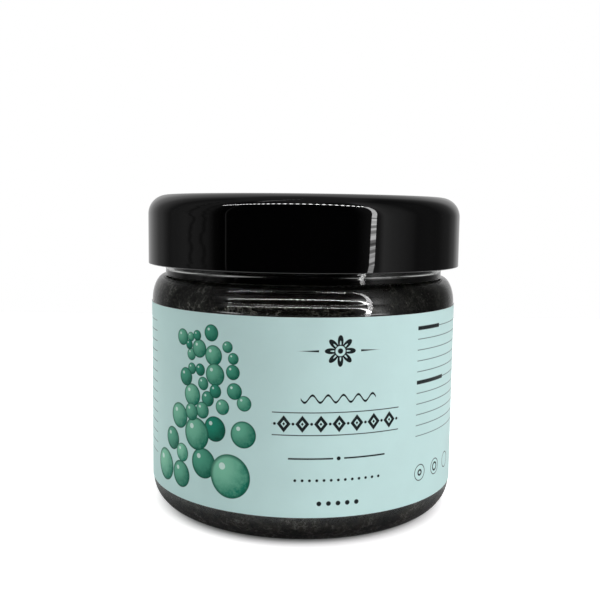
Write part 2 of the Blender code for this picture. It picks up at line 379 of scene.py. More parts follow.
def jar_hollow(gap):
    """The inside of the jar from the middle of its floor to its neck, drawn in by a gap."""
    wall = BODY_RADIUS - BODY_WALL - gap
    floor = BASE_RECESS + BASE_WALL + gap
    corner = HEEL_RADIUS - BODY_WALL
    points = [(0.0, floor)]
    points += arc(wall - corner, floor + corner, corner, corner, -90, 0)
    points += [(wall, THIN_FOOT)]
    lower = wall + THIN_WALL - LOWER_ROUND
    points += arc(lower, STEP_FOOT - gap, LOWER_ROUND, LOWER_ROUND, 0, LOWER_TURN)
    step_x, step_z = points[-1]
    turn = math.radians(UPPER_TURN)
    upper_x = step_x - UPPER_ROUND * math.cos(turn)
    upper_z = step_z - UPPER_ROUND * math.sin(turn)
    points += arc(upper_x, upper_z, UPPER_ROUND, UPPER_ROUND, UPPER_TURN, UPPER_END, 2 * ARC_STEPS)[1:]
    points += [(MOUTH_RADIUS - gap, points[-1][1] + NECK_STEP)]
    return points


def jar_outline():
    wall = BODY_RADIUS + GLUE_SPACE
    heel = wall - HEEL_RADIUS
    ring = heel - STANDING_RING
    rim = RIM_TOP - RIM_ROUND
    mouth_edge = arc(MOUTH_RADIUS + RIM_ROUND, rim, RIM_ROUND, RIM_ROUND, 180, 90, 5)
    neck_edge = arc(NECK_RADIUS - RIM_ROUND, rim, RIM_ROUND, RIM_ROUND, 90, 0, 5)
    inside = in_rows(jar_hollow(0.0) + mouth_edge)
    neck = neck_edge + [(NECK_RADIUS, SHOULDER_TOP)]
    fall = wall - NECK_RADIUS
    shoulder = arc(NECK_RADIUS, SHOULDER_TOP - SHOULDER_DROP, fall, SHOULDER_DROP, 90, 0, 2 * ARC_STEPS)
    outside = shoulder + arc(heel, HEEL_RADIUS, HEEL_RADIUS, HEEL_RADIUS, 0, -90)
    outside += [(ring, 0.0), (ring - RECESS_SLOPE, BASE_RECESS), (GATE_RADIUS, BASE_RECESS)]
    outside += arc(0.0, BASE_RECESS, GATE_RADIUS, -GATE_HEIGHT, 0, 90, 6)[1:]
    return inside + in_rows(neck, NECK_ROW) + in_rows(outside)[1:]


jar = add_piece("clear_jar", turned(jar_outline(), raise_neck_thread))
print("jar mesh:", len(jar.data.vertices), "points")

# %% Clear plastic
PLASTIC_IOR = 1.50


def clear_plastic():
    material, nodes = new_finish("clear_moulded_plastic")
    place = nodes.place()
    flow = nodes.noise(place, 9 * MM, detail=3)
    haze = nodes.noise(place, 0.5 * MM, detail=2).above(0.62, 0.80)
    plastic = nodes.add(
        "ShaderNodeBsdfPrincipled",
        {},
        {
            "Base Color": nodes.mix(flow, (0.95, 0.97, 0.96), (0.98, 0.98, 0.97)),
            "Roughness": 0.012 + 0.03 * haze,
            "IOR": PLASTIC_IOR,
            "Transmission Weight": 1.0,
            "Normal": nodes.bump(flow, 0.02 * MM),
        },
    )
    lamp_ray = nodes.add("ShaderNodeLightPath", out="Is Shadow Ray")
    open_way = nodes.add("ShaderNodeBsdfTransparent", {}, {"Color": (0.93, 0.95, 0.94)})
    show(nodes, nodes.add("ShaderNodeMixShader", {}, {0: lamp_ray, 1: plastic, 2: open_way}))
    return material


place_piece(jar, "jar_body", "clear_plastic", clear_plastic())

# %% [markdown]
# ## The soap paste
# The paste is filled in soft, so it takes the shape of the jar up to the neck, and its top keeps the
# swirl of the filling nozzle. It could be a plain solid with a bumpy shader, but the swirl is real relief,
# so it is moved in the mesh. Where the paste wets the plastic, its mesh reaches a hair into the wall: with
# air between them, light would be thrown back inside the wall and the dark heel would shine. Wet paste
# also has no gloss of its own. Only on its top and at the front of the shoulder, where it came away from
# the wall, does it shine, so the finish is two shaders with a mask between them. Crumbs and pale wisps of
# soap smear the wall at the heel and the shoulder, more heavily on the left.

# %% Paste mesh
WET_DEPTH = 0.03 * MM
PASTE_ROW = 0.7 * MM
SWIRL_PITCH = 7.0 * MM
SWIRL_HEIGHT = 0.6 * MM
PASTE_EDGE = PASTE_TOP - 0.8 * MM
EDGE_WIDTH = 0.5 * MM
EDGE_DIP = 0.3 * MM


def swirl_top(place):
    """Turns the flat top into the spiral that the filling nozzle left."""
    radius = place.xy.length
    if place.z < PASTE_EDGE - WELD:
        return place
    inward = max(0.0, min(1.0, (MOUTH_RADIUS - radius) / SWIRL_PITCH))
    turn = math.tau * radius / SWIRL_PITCH - math.atan2(place.y, place.x)
    lift = inward * (0.5 + 0.5 * math.sin(turn)) * min(1.0, radius / SWIRL_PITCH)
    rough = 0.25 * noise.noise(place / SWIRL_PITCH * 3.0)
    return place + Vector((0.0, 0.0, SWIRL_HEIGHT * (lift + inward * rough)))


def paste_outline():
    sides = jar_hollow(-WET_DEPTH)
    edge = sides[-1][0]
    top = [(edge, PASTE_EDGE), (edge - EDGE_WIDTH, PASTE_EDGE - EDGE_DIP), (0.0, PASTE_EDGE)]
    return in_rows(sides + top, PASTE_ROW)


paste = add_piece("soap_paste_fill", turned(paste_outline(), swirl_top))
print("paste mesh:", len(paste.data.vertices), "points")

# %% Dark paste
PASTE_BLACK = (0.0012, 0.0012, 0.0010)
PASTE_PLAIN = (0.0040, 0.0044, 0.0034)
PASTE_SMEARED = (0.0100, 0.0104, 0.0088)
PASTE_HEEL = (0.031, 0.0255, 0.0185)
CRUMB = (0.090, 0.088, 0.074)
WISP = (0.270, 0.265, 0.240)
SPECK = (0.150, 0.146, 0.125)
HEEL_BAND = (9 * MM, 7 * MM)
SHOULDER_FOOT_BAND = (47.6 * MM, 48.4 * MM)
SHOULDER_HEAD_BAND = (54.2 * MM, 53.4 * MM)
LOW_SHOULDER_BAND = (50.6 * MM, 49.6 * MM)
FRONT_BAND = (19 * MM, 14 * MM)
FRONT_DEPTH = (0.0, -5 * MM)
SMEAR_BAND = (18 * MM, -12 * MM)
SHINY_IOR = 2.4
SHINY_SPECULAR = 0.58


def dark_paste():
    material, nodes = new_finish("dark_soap_paste")
    place = nodes.place()
    side = nodes.add("ShaderNodeSeparateXYZ", {}, {"Vector": place}, out="X")
    high = side.other("Z")
    front = abs(side).above(*FRONT_BAND) * side.other("Y").above(*FRONT_DEPTH)
    shoulder = high.above(*SHOULDER_FOOT_BAND) * high.above(*SHOULDER_HEAD_BAND)
    heel = high.above(*HEEL_BAND)
    low_band = high.above(*LOW_SHOULDER_BAND)
    film = heel + shoulder * (1 - 0.5 * front * (1 - low_band))
    low_front = front * low_band * shoulder
    smear = side.above(*SMEAR_BAND)
    cloud = nodes.noise(place, 5 * MM, detail=6, roughness=0.65)
    vein = abs(nodes.noise(place, 2.2 * MM, detail=7, roughness=0.66) - 0.5).above(0.030, 0.004)
    wisp = vein * cloud.above(0.48, 0.60) * film
    crumb = nodes.noise(place, 0.9 * MM, detail=5, roughness=0.7).above(0.50, 0.64) * film
    speck = nodes.noise(place, 0.40 * MM, detail=2, roughness=0.6).above(0.62, 0.74) * film
    ground = nodes.mix(smear, PASTE_PLAIN, PASTE_SMEARED)
    ground = nodes.mix(heel, ground, PASTE_HEEL)
    brown = nodes.mix(film * cloud.above(0.40, 0.62), PASTE_BLACK, ground)
    crumb_share = 0.10 + 0.10 * smear + 0.12 * heel + 0.60 * low_front
    brown = nodes.mix(crumb_share * crumb, brown, CRUMB)
    wisp_share = 0.08 + 0.34 * smear + 0.40 * heel * (1 - 0.6 * smear)
    brown = nodes.mix(wisp_share * wisp, brown, WISP)
    color = nodes.mix((0.40 + 0.05 * heel) * speck, brown, SPECK)
    dull = {"Base Color": color, "Roughness": 0.5 + 0.3 * cloud, "Specular IOR Level": 0.0}
    wet = nodes.add("ShaderNodeBsdfPrincipled", {}, dull)
    shiny = nodes.add(
        "ShaderNodeBsdfPrincipled",
        {},
        {
            "Base Color": color,
            "Roughness": 0.010 + 0.015 * cloud + 0.12 * speck,
            "IOR": SHINY_IOR,
            "Specular IOR Level": SHINY_SPECULAR,
            "Normal": nodes.bump(cloud, 0.005 * MM),
        },
    )
    top = high.above(PASTE_EDGE - 0.4 * MM, PASTE_EDGE)
    free = front * shoulder + top
    shine = free.math("MINIMUM", free, 1.0)
    show(nodes, nodes.add("ShaderNodeMixShader", {}, {0: shine, 1: wet, 2: shiny}))
    return material


place_piece(paste, "soap_paste", "dark_paste", dark_paste())

# %% [markdown]
# ## The lid's shell
# The shell is what the eye meets first: a smooth black cap with a large rounded top edge, polished in
# the mould. A surface like that has hardly any colour of its own and shows the studio instead, so its
# mesh has to be true, with close rows on the round edge. The finish adds only what moulding and handling
# leave: a faint waviness, a few scuffs that catch light, and dust.

# %% Shell mesh
SHELL_WALL = 1.3 * MM
SHELL_FILLET = 4.5 * MM
SHELL_EDGE = 0.2 * MM
SNAP_LIP = 0.7 * MM


def shell_outline():
    bore = LID_RADIUS - SHELL_WALL
    ceiling = LID_TOP - SHELL_WALL
    inner = SHELL_FILLET - SHELL_WALL
    lip = bore - SNAP_LIP
    lip_top = LID_FOOT + SNAP_LIP
    points = [(0.0, LID_TOP)]
    points += arc(LID_RADIUS - SHELL_FILLET, LID_TOP - SHELL_FILLET, SHELL_FILLET, SHELL_FILLET, 90, 0, 24)
    points += arc(LID_RADIUS - SHELL_EDGE, LID_FOOT + SHELL_EDGE, SHELL_EDGE, SHELL_EDGE, 0, -90, 6)
    points += [(lip, LID_FOOT), (lip, lip_top), (bore, lip_top)]
    points += arc(bore - inner, ceiling - inner, inner, inner, 0, 90)
    return in_rows(points + [(0.0, ceiling)])


shell = add_piece("lid_shell", turned(shell_outline()))
print("shell mesh:", len(shell.data.vertices), "points")

# %% Polished black
def polished_black():
    material, nodes = new_finish("polished_black_plastic")
    place = nodes.place()
    wave = nodes.noise(place, 14 * MM, detail=1)
    flat = {0: place, 1: (1.0, 1.0, 5.0)}
    scuff_place = nodes.add("ShaderNodeVectorMath", {"operation": "MULTIPLY"}, flat)
    scuff = nodes.noise(scuff_place, 1.6 * MM, detail=6, roughness=0.7).above(0.60, 0.75)
    dust = nodes.noise(place, 0.32 * MM, detail=1).above(0.80, 0.86)
    color = nodes.mix(wave, (0.0004, 0.0004, 0.0005), (0.0008, 0.0008, 0.0009))
    shader = nodes.add(
        "ShaderNodeBsdfPrincipled",
        {},
        {
            "Base Color": nodes.mix(0.5 * dust, color, (0.10, 0.10, 0.10)),
            "Roughness": 0.012 + 0.03 * scuff + 0.4 * dust,
            "IOR": PLASTIC_IOR,
            "Normal": nodes.bump(wave, 0.015 * MM),
        },
    )
    show(nodes, shader)
    return material


place_piece(shell, "lid_outer_shell", "gloss_black", polished_black())

# %% [markdown]
# ## The threaded cap inside the lid
# The shell is only a cover. Inside it a plain black cap carries the thread, and shows when the lid comes
# off. It is turned like the jar, and its thread is pressed inwards out of the bore by the same rule.

# %% Cap mesh
CAP_WALL = 1.0 * MM
CAP_FILLET = 1.8 * MM
CAP_INNER_FILLET = 0.8 * MM
CAP_EDGE = 0.25 * MM
CAP_BORE = CAP_RADIUS - CAP_WALL
CAP_CEILING = CAP_TOP - CAP_WALL


def press_cap_thread(place):
    in_bore = abs(place.xy.length - CAP_BORE) < WELD and CAP_FOOT < place.z < CAP_CEILING
    if not in_bore:
        return place
    return with_radius(place, CAP_BORE - THREAD_DEPTH * ridge(place, CAP_THREAD_START))


def cap_outline():
    points = [(0.0, CAP_TOP)]
    points += arc(CAP_RADIUS - CAP_FILLET, CAP_TOP - CAP_FILLET, CAP_FILLET, CAP_FILLET, 90, 0, 8)
    points += arc(CAP_RADIUS - CAP_EDGE, CAP_FOOT + CAP_EDGE, CAP_EDGE, CAP_EDGE, 0, -90, 4)
    points += arc(CAP_BORE + CAP_EDGE, CAP_FOOT + CAP_EDGE, CAP_EDGE, CAP_EDGE, -90, -180, 4)
    round_edge = CAP_INNER_FILLET
    ceiling = arc(CAP_BORE - round_edge, CAP_CEILING - round_edge, round_edge, round_edge, 0, 90, 6)
    bore = in_rows([points[-1], ceiling[0]], NECK_ROW)
    return in_rows(points) + bore[1:] + in_rows(ceiling + [(0.0, CAP_CEILING)])[1:]


cap = add_piece("lid_threaded_cap", turned(cap_outline(), press_cap_thread))
print("cap mesh:", len(cap.data.vertices), "points")

# %% Satin black
def satin_black():
    material, nodes = new_finish("satin_black_plastic")
    place = nodes.place()
    grain = nodes.noise(place, 0.25 * MM, detail=3)
    cloud = nodes.noise(place, 7 * MM, detail=3)
    shader = nodes.add(
        "ShaderNodeBsdfPrincipled",
        {},
        {
            "Base Color": nodes.mix(cloud, (0.010, 0.010, 0.011), (0.016, 0.016, 0.017)),
            "Roughness": 0.36 + 0.16 * cloud,
            "Normal": nodes.bump(grain, 0.03 * MM),
        },
    )
    show(nodes, shader)
    return material


place_piece(cap, "lid_inner_cap", "black_cap", satin_black())

# %% [markdown]
# ## The wad under the lid's ceiling
# A wad of pressed board evens out the lid's pressure on the mouth. Its lower face keeps a shallow ring
# where the rim has pressed into it. The board is pulp, so its colour is made of long thin flecks: noise
# that is stretched across the disc in two directions.

# %% Wad mesh
WAD_EDGE = 0.2 * MM
PRESS_DEPTH = 0.12 * MM
PRESS_WIDTH = 1.2 * MM


def wad_outline():
    inner = MOUTH_RADIUS
    points = [(0.0, WAD_TOP)]
    points += arc(WAD_RADIUS - WAD_EDGE, WAD_TOP - WAD_EDGE, WAD_EDGE, WAD_EDGE, 90, 0, 4)
    points += arc(WAD_RADIUS - WAD_EDGE, WAD_FOOT + WAD_EDGE, WAD_EDGE, WAD_EDGE, 0, -90, 4)
    points += [(inner + PRESS_WIDTH, WAD_FOOT), (inner + 0.8 * PRESS_WIDTH, WAD_FOOT + PRESS_DEPTH)]
    points += [(inner + 0.2 * PRESS_WIDTH, WAD_FOOT + PRESS_DEPTH), (inner, WAD_FOOT)]
    return in_rows(points + [(0.0, WAD_FOOT)])


wad = add_piece("lid_board_wad", turned(wad_outline()))
print("wad mesh:", len(wad.data.vertices), "points")

# %% Pressed board
def pressed_board():
    material, nodes = new_finish("pressed_board")
    place = nodes.place()
    flecks = []
    for stretch in ((6.0, 1.0, 1.0), (1.0, 6.0, 1.0)):
        thin = nodes.add("ShaderNodeVectorMath", {"operation": "MULTIPLY"}, {0: place, 1: stretch})
        flecks.append(nodes.noise(thin, 2.0 * MM, detail=4).above(0.55, 0.72))
    pulp = nodes.noise(place, 3 * MM, detail=5)
    color = nodes.mix(pulp, (0.70, 0.68, 0.62), (0.82, 0.80, 0.75))
    color = nodes.mix(0.4 * (flecks[0] + flecks[1]), color, (0.55, 0.50, 0.42))
    height = pulp + 0.5 * flecks[0] + 0.5 * flecks[1]
    sockets = {
        "Base Color": color,
        "Roughness": 0.78 + 0.15 * pulp,
        "Normal": nodes.bump(height, 0.06 * MM),
    }
    show(nodes, nodes.add("ShaderNodeBsdfPrincipled", {}, sockets))
    return material


place_piece(wad, "lid_wad", "wad_board", pressed_board())

# %% [markdown]
# ## The pull disc
# A thin white disc plugs the mouth: a flange that rests on the rim, a short tapered plug, and a tab with a
# finger hole. The plug is turned. The tab is a flat outline, which Blender draws best as a filled 2D curve
# with a rounded edge, and a Boolean union makes it one moulding with the plug.

# %% Disc mesh
PLUG_GAP = 0.3 * MM
PLUG_RADIUS = MOUTH_RADIUS - PLUG_GAP
PLUG_WALL = 0.8 * MM
PLUG_TAPER = 0.4 * MM
PANEL_THICK = 0.8 * MM
FLANGE_THICK = 0.7 * MM
FLANGE_ROUND = 0.3 * MM
PANEL_RING = 24.0 * MM
PANEL_RING_HEIGHT = 0.35 * MM
PANEL_FILLET = 0.4 * MM


def disc_outline():
    panel_top = PANEL_FOOT + PANEL_THICK
    flange_foot = FLANGE_TOP - FLANGE_THICK
    inside = PLUG_RADIUS - PLUG_WALL
    corner = inside - PLUG_TAPER - PANEL_FILLET
    edge = FLANGE_RADIUS - FLANGE_ROUND
    high = FLANGE_TOP - FLANGE_ROUND
    low = flange_foot + FLANGE_ROUND
    points = [(0.0, panel_top)]
    points += arc(PANEL_RING, panel_top, PANEL_RING_HEIGHT, PANEL_RING_HEIGHT, 180, 0, 8)
    points += arc(corner, panel_top + PANEL_FILLET, PANEL_FILLET, PANEL_FILLET, -90, 0, 4)
    points += arc(inside + FLANGE_ROUND, high, FLANGE_ROUND, FLANGE_ROUND, 180, 90, 4)
    points += arc(edge, high, FLANGE_ROUND, FLANGE_ROUND, 90, 0, 4)
    points += arc(edge, low, FLANGE_ROUND, FLANGE_ROUND, 0, -90, 4)
    points += [(PLUG_RADIUS, flange_foot), (PLUG_RADIUS - PLUG_TAPER, PANEL_FOOT)]
    return in_rows(points + [(0.0, PANEL_FOOT)])


disc = add_piece("pull_disc", turned(disc_outline()))
print("disc mesh:", len(disc.data.vertices), "points")

# %% Pull tab
TAB_WIDTH = 13.0 * MM
TAB_LENGTH = 17.0 * MM
TAB_THICK = 0.8 * MM
TAB_ROUND = 0.2 * MM
TAB_RIM = 3.0 * MM
TAB_LIFT = 0.6 * MM
TAB_ROOT = 3.0 * MM


def add_outline(curve, points):
    spline = curve.splines.new("POLY")
    spline.points.add(len(points) - 1)
    for target, (x, y) in zip(spline.points, points):
        target.co = (x, y, 0.0, 1.0)
    spline.use_cyclic_u = True


def solid_of(curve):
    """A closed mesh object made of a curve, to be joined to another piece."""
    drawn = bpy.data.objects.new(curve.name, curve)
    scene.collection.objects.link(drawn)
    bpy.context.view_layer.update()
    mesh = bpy.data.meshes.new_from_object(drawn.evaluated_get(bpy.context.evaluated_depsgraph_get()))
    bpy.data.objects.remove(drawn)
    shape = bmesh.new()
    shape.from_mesh(mesh)
    bmesh.ops.remove_doubles(shape, verts=shape.verts, dist=WELD)
    bmesh.ops.recalc_face_normals(shape, faces=shape.faces)
    return add_piece(curve.name, shape)


def flat_curve(name, thick, outlines, height):
    curve = bpy.data.curves.new(name, "CURVE")
    curve.dimensions = "2D"
    curve.fill_mode = "BOTH"
    curve.bevel_depth = TAB_ROUND
    curve.bevel_resolution = 3
    curve.extrude = thick / 2 - TAB_ROUND
    curve.offset = -TAB_ROUND
    for outline in outlines:
        add_outline(curve, outline)
    solid = solid_of(curve)
    solid.location.z = height
    return solid


def pull_tab():
    half = TAB_WIDTH / 2
    end = TAB_LENGTH / 2 - half
    tongue = [(-TAB_LENGTH / 2, -half)] + arc(end, 0.0, half, half, -90, 90, 32) + [(-TAB_LENGTH / 2, half)]
    hole = arc(end, 0.0, half - TAB_RIM, half - TAB_RIM, 360, 0, 48)[:-1]
    height = PANEL_FOOT + PANEL_THICK + TAB_LIFT + TAB_THICK / 2
    return flat_curve("pull_tab", TAB_THICK, [tongue, hole], height)


def tab_root():
    left = TAB_LIFT - TAB_LENGTH / 2
    half = (TAB_WIDTH - TAB_RIM) / 2
    block = [(left, -half), (left + TAB_ROOT, -half), (left + TAB_ROOT, half), (left, half)]
    low = PANEL_FOOT + PANEL_THICK / 2
    high = PANEL_FOOT + PANEL_THICK + TAB_LIFT + TAB_THICK / 2
    return flat_curve("tab_root", high - low, [block], (low + high) / 2)


def join(piece, part):
    """One body of two overlapping ones."""
    union = piece.modifiers.new("join", "BOOLEAN")
    union.operation = "UNION"
    union.object = part
    bpy.context.view_layer.update()
    mesh = bpy.data.meshes.new_from_object(piece.evaluated_get(bpy.context.evaluated_depsgraph_get()))
    piece.modifiers.clear()
    piece.data = mesh
    bpy.data.objects.remove(part)


join(disc, pull_tab())
join(disc, tab_root())
disc.data.set_sharp_from_angle(angle=SHARP_ANGLE)
print("disc with its tab:", len(disc.data.polygons), "faces")

# %% White moulded plastic
def white_plastic():
    material, nodes = new_finish("white_moulded_plastic")
    place = nodes.place()
    cloud = nodes.noise(place, 8 * MM, detail=4)
    grain = nodes.noise(place, 0.2 * MM, detail=2)
    sockets = {
        "Base Color": nodes.mix(cloud, (0.82, 0.83, 0.82), (0.88, 0.89, 0.88)),
        "Roughness": 0.34 + 0.14 * cloud,
        "Subsurface Weight": 0.1,
        "Subsurface Radius": (1.0 * MM, 1.0 * MM, 1.0 * MM),
        "Normal": nodes.bump(grain, 0.02 * MM),
    }
    show(nodes, nodes.add("ShaderNodeBsdfPrincipled", {}, sockets))
    return material


place_piece(disc, "sealing_disc", "white_plastic", white_plastic())

# %% [markdown]
# ## The paper label
# The label is a strip of coated paper that almost closes round the jar and leaves a narrow gap at the
# back. Its corners are cut round, as a label die does, so that they don't lift. A flat grid bent round the
# wall gives that shape: each row of points is as long as the rounded outline is at its height. Solidify
# then gives the paper its thickness, with bare paper on the cut edge and painted shade, near black, on the
# glued side.

# %% Label mesh
LABEL_GAP = 0.15 * MM
LABEL_THICK = 0.12 * MM
LABEL_RADIUS = BODY_RADIUS + LABEL_GAP
LABEL_SEAM = 4.5 * MM
LABEL_CORNER = 2.5 * MM
LABEL_COLUMNS = 256
LABEL_ROWS = 12
CORNER_STEPS = 8


def label_rows():
    """Heights of the label's rows with the half length of each, from its foot up."""
    half = math.pi * LABEL_RADIUS - LABEL_SEAM / 2
    center = (half - LABEL_CORNER, LABEL_FOOT + LABEL_CORNER)
    corner = arc(*center, LABEL_CORNER, LABEL_CORNER, -90, 0, CORNER_STEPS)
    rows = [(height, length) for length, height in corner]
    step = (LABEL_TOP - LABEL_FOOT - 2 * LABEL_CORNER) / LABEL_ROWS
    rows += [(LABEL_FOOT + LABEL_CORNER + step * row, half) for row in range(1, LABEL_ROWS)]
    rows += [(LABEL_FOOT + LABEL_TOP - height, length) for height, length in reversed(rows[: len(corner)])]
    return rows


def label_shape():
    shape = bmesh.new()
    grid = []
    for height, half in label_rows():
        row = []
        for column in range(LABEL_COLUMNS + 1):
            angle = (2.0 * column / LABEL_COLUMNS - 1.0) * half / LABEL_RADIUS
            x = LABEL_RADIUS * math.sin(angle)
            y = -LABEL_RADIUS * math.cos(angle)
            row.append(shape.verts.new((x, y, height)))
        grid.append(row)
    for lower, upper in zip(grid, grid[1:]):
        for column in range(LABEL_COLUMNS):
            shape.faces.new((lower[column], lower[column + 1], upper[column + 1], upper[column]))
    return shape


label = add_piece("paper_label", label_shape())
paper = label.modifiers.new("paper", "SOLIDIFY")
paper.thickness = LABEL_THICK
paper.offset = 1.0
paper.use_even_offset = True
paper.material_offset = 2
paper.material_offset_rim = 1
label_length = 2 * max(half for _, half in label_rows())
print(f"label {label_length / MM:.0f} mm long, {(LABEL_TOP - LABEL_FOOT) / MM:.1f} mm tall")

# %% [markdown]
# ## The print on the label
# The print is drawn on the paper by maths: each point of the label knows how far round the jar and how
# high up it lies, in millimetres, and shapes are tests on these two numbers. A ring is a distance to a
# point, a rule is a distance to a height, and a row of lozenges is a distance folded back and forth. The
# design is a plain one of its own: rising bubbles in green washes, a rosette, a wave, a lozenge border, a
# rule with a dot, two dotted rows, three circles, and blank ruled panels to write on.

# %% Where things stand on the label, in millimetres
PANEL_TURN = math.radians(12.3)
BORDER_HEIGHT = 26.4
LOZENGE_PITCH = 3.8
WAVE_HEIGHT = 31.6
WAVE_TURN = math.tau / 3.2
ROSETTE_HEIGHT = 41.4
DIVIDER_HEIGHT = 19.15
LOWER_ROW_HEIGHT = 14.6
FOOT_MARK_HEIGHT = 9.7
RIGHT_PANEL = (19.2, 56.0, 21.5, 45.0)
LEFT_PANEL = (-84.0, -49.0, 14.0, 44.5)
HEADINGS = ((19.2, 27.5, 45.0), (19.2, 30.0, 33.25))
MARKS = (21.0, 13.2)
LINE_INK = 0.75
SOFT = 0.07


class Print:
    """Shapes drawn on the label, as masks that are 1 on the ink and 0 beside it."""

    def __init__(self, nodes):
        self.nodes = nodes
        self.split = nodes.add("ShaderNodeSeparateXYZ", {}, {"Vector": nodes.place()}, out="X")
        around = self.split.math("ARCTAN2", self.split, -self.split.other("Y"))
        self.across = (around - PANEL_TURN) * ((LABEL_RADIUS + LABEL_THICK) / MM)
        self.up = self.split.other("Z") / MM
        self.spot = nodes.add("ShaderNodeCombineXYZ", {}, {"X": self.across, "Y": self.up})

    def distance(self, across, up):
        ends = {0: self.spot, 1: (across, up, 0.0)}
        return self.nodes.add("ShaderNodeVectorMath", {"operation": "DISTANCE"}, ends, out="Value")

    def inside(self, distance, limit):
        return distance.above(limit + SOFT, limit - SOFT)

    def band(self, value, middle, half):
        """Ink where a value is within half a width of a middle."""
        return self.inside(abs(value - middle), half)

    def folded(self, value, pitch):
        """A value folded back and forth, so that a shape at 0 repeats at each pitch."""
        return value.math("PINGPONG", value, pitch / 2)


print("the label's panel is turned", round(math.degrees(PANEL_TURN), 1), "degrees from the front")

# %% Ornaments in ink
def divider(draw):
    """A rule on each side of a dot."""
    side = abs(draw.across)
    rule = draw.band(draw.up, DIVIDER_HEIGHT, 0.17) * draw.band(side, 5.8, 4.65)
    return rule.math("MAXIMUM", rule, draw.inside(draw.distance(0.0, DIVIDER_HEIGHT), 0.42))


def rosette(draw):
    """Eight petals round a ring, between two tapering rules."""
    up = draw.up - ROSETTE_HEIGHT
    radius = draw.distance(0.0, ROSETTE_HEIGHT)
    angle = up.math("ARCTAN2", up, draw.across)
    petal = abs((angle * 4.0).math("COSINE", angle * 4.0))
    flower = draw.inside(radius, 1.35 + 1.9 * petal) * (1 - draw.inside(radius, 1.05))
    vein = draw.inside(radius, 0.6 + 1.5 * petal.math("POWER", petal, 6.0)) * (1 - draw.inside(radius, 1.3))
    heart = draw.inside(radius, 0.55)
    side = abs(draw.across)
    taper = draw.inside(abs(up) + 0.055 * (side - 4.4), 0.22) * side.above(4.35, 4.45)
    ink = (flower - vein) + heart
    return ink.math("MAXIMUM", ink, taper)


def lozenge_border(draw):
    """A row of lozenges with dots between, framed by two fine rules."""
    side = abs(draw.across)
    up = abs(draw.up - BORDER_HEIGHT)
    slant = draw.folded(draw.across, LOZENGE_PITCH) + 0.8 * up
    lozenge = draw.inside(slant, 1.42) * (1 - draw.inside(slant, 0.62))
    heart = draw.inside(slant, 0.30)
    dot_fold = draw.folded(draw.across + LOZENGE_PITCH / 2, LOZENGE_PITCH)
    square = dot_fold * dot_fold + up * up
    ink = lozenge + heart + draw.inside(square.math("SQRT", square), 0.30) + draw.band(up, 2.35, 0.10)
    return ink * draw.inside(side, 13.85)


def wave_rule(draw):
    """A line that waves between two heights."""
    swing = (draw.across * WAVE_TURN).math("SINE", draw.across * WAVE_TURN)
    line = draw.inside(abs(draw.up - WAVE_HEIGHT - 0.75 * swing), 0.24)
    return line * draw.inside(abs(draw.across), 8.0)


def dotted_row(draw, height, half_length, pitch, radius):
    fold = draw.folded(draw.across, pitch)
    up = draw.up - height
    square = fold * fold + up * up
    return draw.inside(square.math("SQRT", square), radius) * draw.inside(abs(draw.across), half_length)


print("ornaments: divider, rosette, lozenge border, wave, dotted rows")

# %% Panels to write on
LINE_PITCH = 2.35
LINE_HALF = 0.10


def ruled_panel(draw, start, end, low, high):
    """Fine blank lines over an area of the label."""
    fold = draw.folded(draw.up - low, LINE_PITCH)
    lines = draw.inside(fold, LINE_HALF)
    wide = draw.band(draw.across, (start + end) / 2, (end - start) / 2)
    tall = draw.band(draw.up, (low + high) / 2, (high - low) / 2 + LINE_HALF)
    return lines * wide * tall


def heading(draw, start, end, height):
    """A short heavy rule on top of a panel."""
    return draw.band(draw.up, height, 0.42) * draw.band(draw.across, (start + end) / 2, (end - start) / 2)


def three_marks(draw, start, height):
    """A small ring, a larger ring and nothing, each in a fine circle."""
    ink = None
    for place, half in ((0.0, 0.55), (6.2, 0.85), (12.4, 0.0)):
        radius = draw.distance(start + place, height)
        ring = draw.band(radius, 1.75, 0.1)
        ring = ring + draw.band(radius, half, 0.2) if half else ring
        ink = ring if ink is None else ink + ring
    return ink


print("panels ruled every", LINE_PITCH, "mm")

# %% Rising bubbles
BUBBLE_SEED = 11
BUBBLE_TRIES = 900
BUBBLE_LIMIT = 34
BUBBLE_LEFT = -45.0
BUBBLE_RIGHT = -18.5
BUBBLE_FOOT = 9.0
BUBBLE_HEAD = 46.0
DEEP_GREEN = (0.000, 0.066, 0.041)
LEAF_GREEN = (0.010, 0.225, 0.143)
PALE_GREEN = (0.245, 0.585, 0.415)
GLINT = (0.75, 0.88, 0.85)


def between(first, second, share):
    return tuple(a + (b - a) * share for a, b in zip(first, second))


def bubble_places():
    """Circles thrown at random, large and close at the foot, small and loose above."""
    rng = random.Random(BUBBLE_SEED)
    placed = []
    for _ in range(BUBBLE_TRIES):
        climb = rng.random() ** 1.25
        radius = (4.6 - 2.9 * climb) * rng.uniform(0.5, 1.05)
        up = BUBBLE_FOOT + radius + (BUBBLE_HEAD - BUBBLE_FOOT - 2 * radius) * climb
        drift = 0.5 + 0.32 * math.sin(2.6 * climb)
        spread = (1.0 - 0.6 * climb) * rng.uniform(-0.5, 0.5)
        across = BUBBLE_LEFT + (BUBBLE_RIGHT - BUBBLE_LEFT) * min(0.95, max(0.05, drift + spread - 0.15))
        clear = all(math.hypot(across - x, up - y) > 0.82 * (radius + r) for x, y, r in placed)
        if clear and len(placed) < BUBBLE_LIMIT:
            placed.append((across, up, radius))
    tones = [rng.random() ** 0.6 for _ in placed]
    return [(*circle, tone) for circle, tone in zip(placed, tones)]


